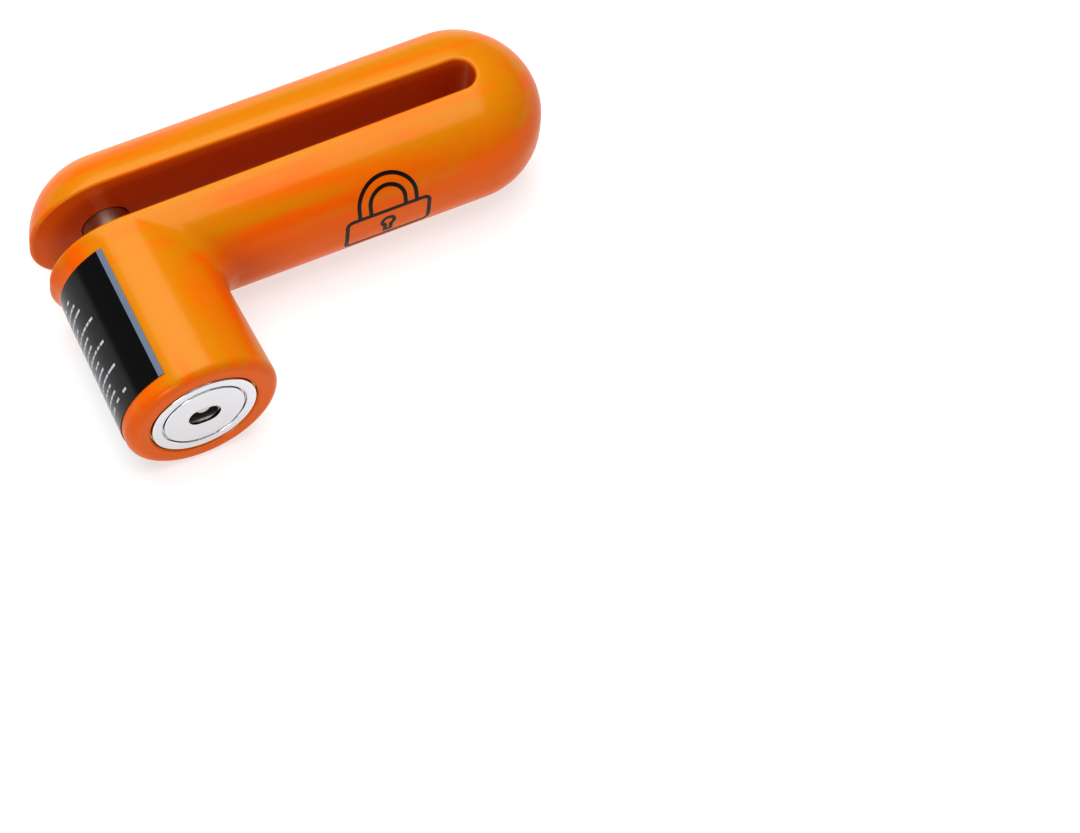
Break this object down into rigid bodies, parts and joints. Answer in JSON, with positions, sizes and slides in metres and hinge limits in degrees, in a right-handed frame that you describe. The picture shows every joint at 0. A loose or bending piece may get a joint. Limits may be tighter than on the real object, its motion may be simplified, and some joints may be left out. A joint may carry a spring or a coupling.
{
  "type": "disc brake lock",
  "caption": "L-shaped brake disc lock: a slotted rounded bar with a keyed cylinder stem whose sliding pin crosses the slot.",
  "frame": {"origin": "where the axis of the locking pin crosses the middle plane of the rotor slot", "axes": "+X along the bar towards its closed end; -Y along the cylinder stem towards the key; +Z across the lock's thickness, up as it lies on its side"},
  "size_m": [0.1193, 0.0677, 0.0352],
  "materials": {
    "orange_paint": "gloss powder coat over a steel casting",
    "black_label": "gloss printed polyester film",
    "bright_chrome": "bright plated",
    "hardened_steel": "ground",
    "spring_steel": "drawn wire",
    "cylinder_brass": "turned",
    "disc_brass": "stamped",
    "seal_rubber": "moulded"
  },
  "bodies": {
    "lock_body": {"lock_casting": "orange_paint", "stem_label": "black_label", "retaining_pin": "hardened_steel", "bore_seal": "seal_rubber", "thrust_washer": "hardened_steel", "return_spring": "spring_steel"},
    "cylinder": {"cylinder_housing": "cylinder_brass", "bezel_ring": "bright_chrome", "locking_pin": "hardened_steel", "pin_dowel": "hardened_steel"},
    "core": {"core_barrel": "bright_chrome", "drill_guard": "hardened_steel", "lock_disc_1": "disc_brass", "lock_disc_2": "disc_brass", "lock_disc_3": "disc_brass", "lock_disc_4": "disc_brass", "lock_disc_5": "disc_brass", "lock_disc_6": "disc_brass", "lock_disc_7": "disc_brass", "lock_disc_8": "disc_brass", "disc_spacer_1": "hardened_steel", "disc_spacer_2": "hardened_steel", "disc_spacer_3": "hardened_steel", "disc_spacer_4": "hardened_steel", "disc_spacer_5": "hardened_steel", "disc_spacer_6": "hardened_steel", "disc_spacer_7": "hardened_steel", "tail_cam": "hardened_steel"},
    "latch": {"latch_bolt": "hardened_steel"},
    "sidebar": {"sidebar": "hardened_steel"}
  },
  "joints": [
    {"name": "cylinder_slide", "type": "slide", "parent": "lock_body", "child": "cylinder", "axis": [0, -1, 0], "range_m": [0, 0.013], "deforming": ["return_spring"]},
    {"name": "key_turn", "type": "hinge", "parent": "cylinder", "child": "core", "pos_m": [0, -0.04, 0], "axis": [0, 1, 0], "range_deg": [0, 90]},
    {"name": "latch_throw", "type": "slide", "parent": "cylinder", "child": "latch", "axis": [1, 0, 0], "range_m": [0, 0.0024]},
    {"name": "sidebar_drop", "type": "slide", "parent": "core", "child": "sidebar", "axis": [0, 0, 1], "range_m": [0, 0.0009]}
  ],
  "couplings": [
    {"joint": "latch_throw", "follows": "key_turn", "m_per_rad": 0.001527}
  ]
}
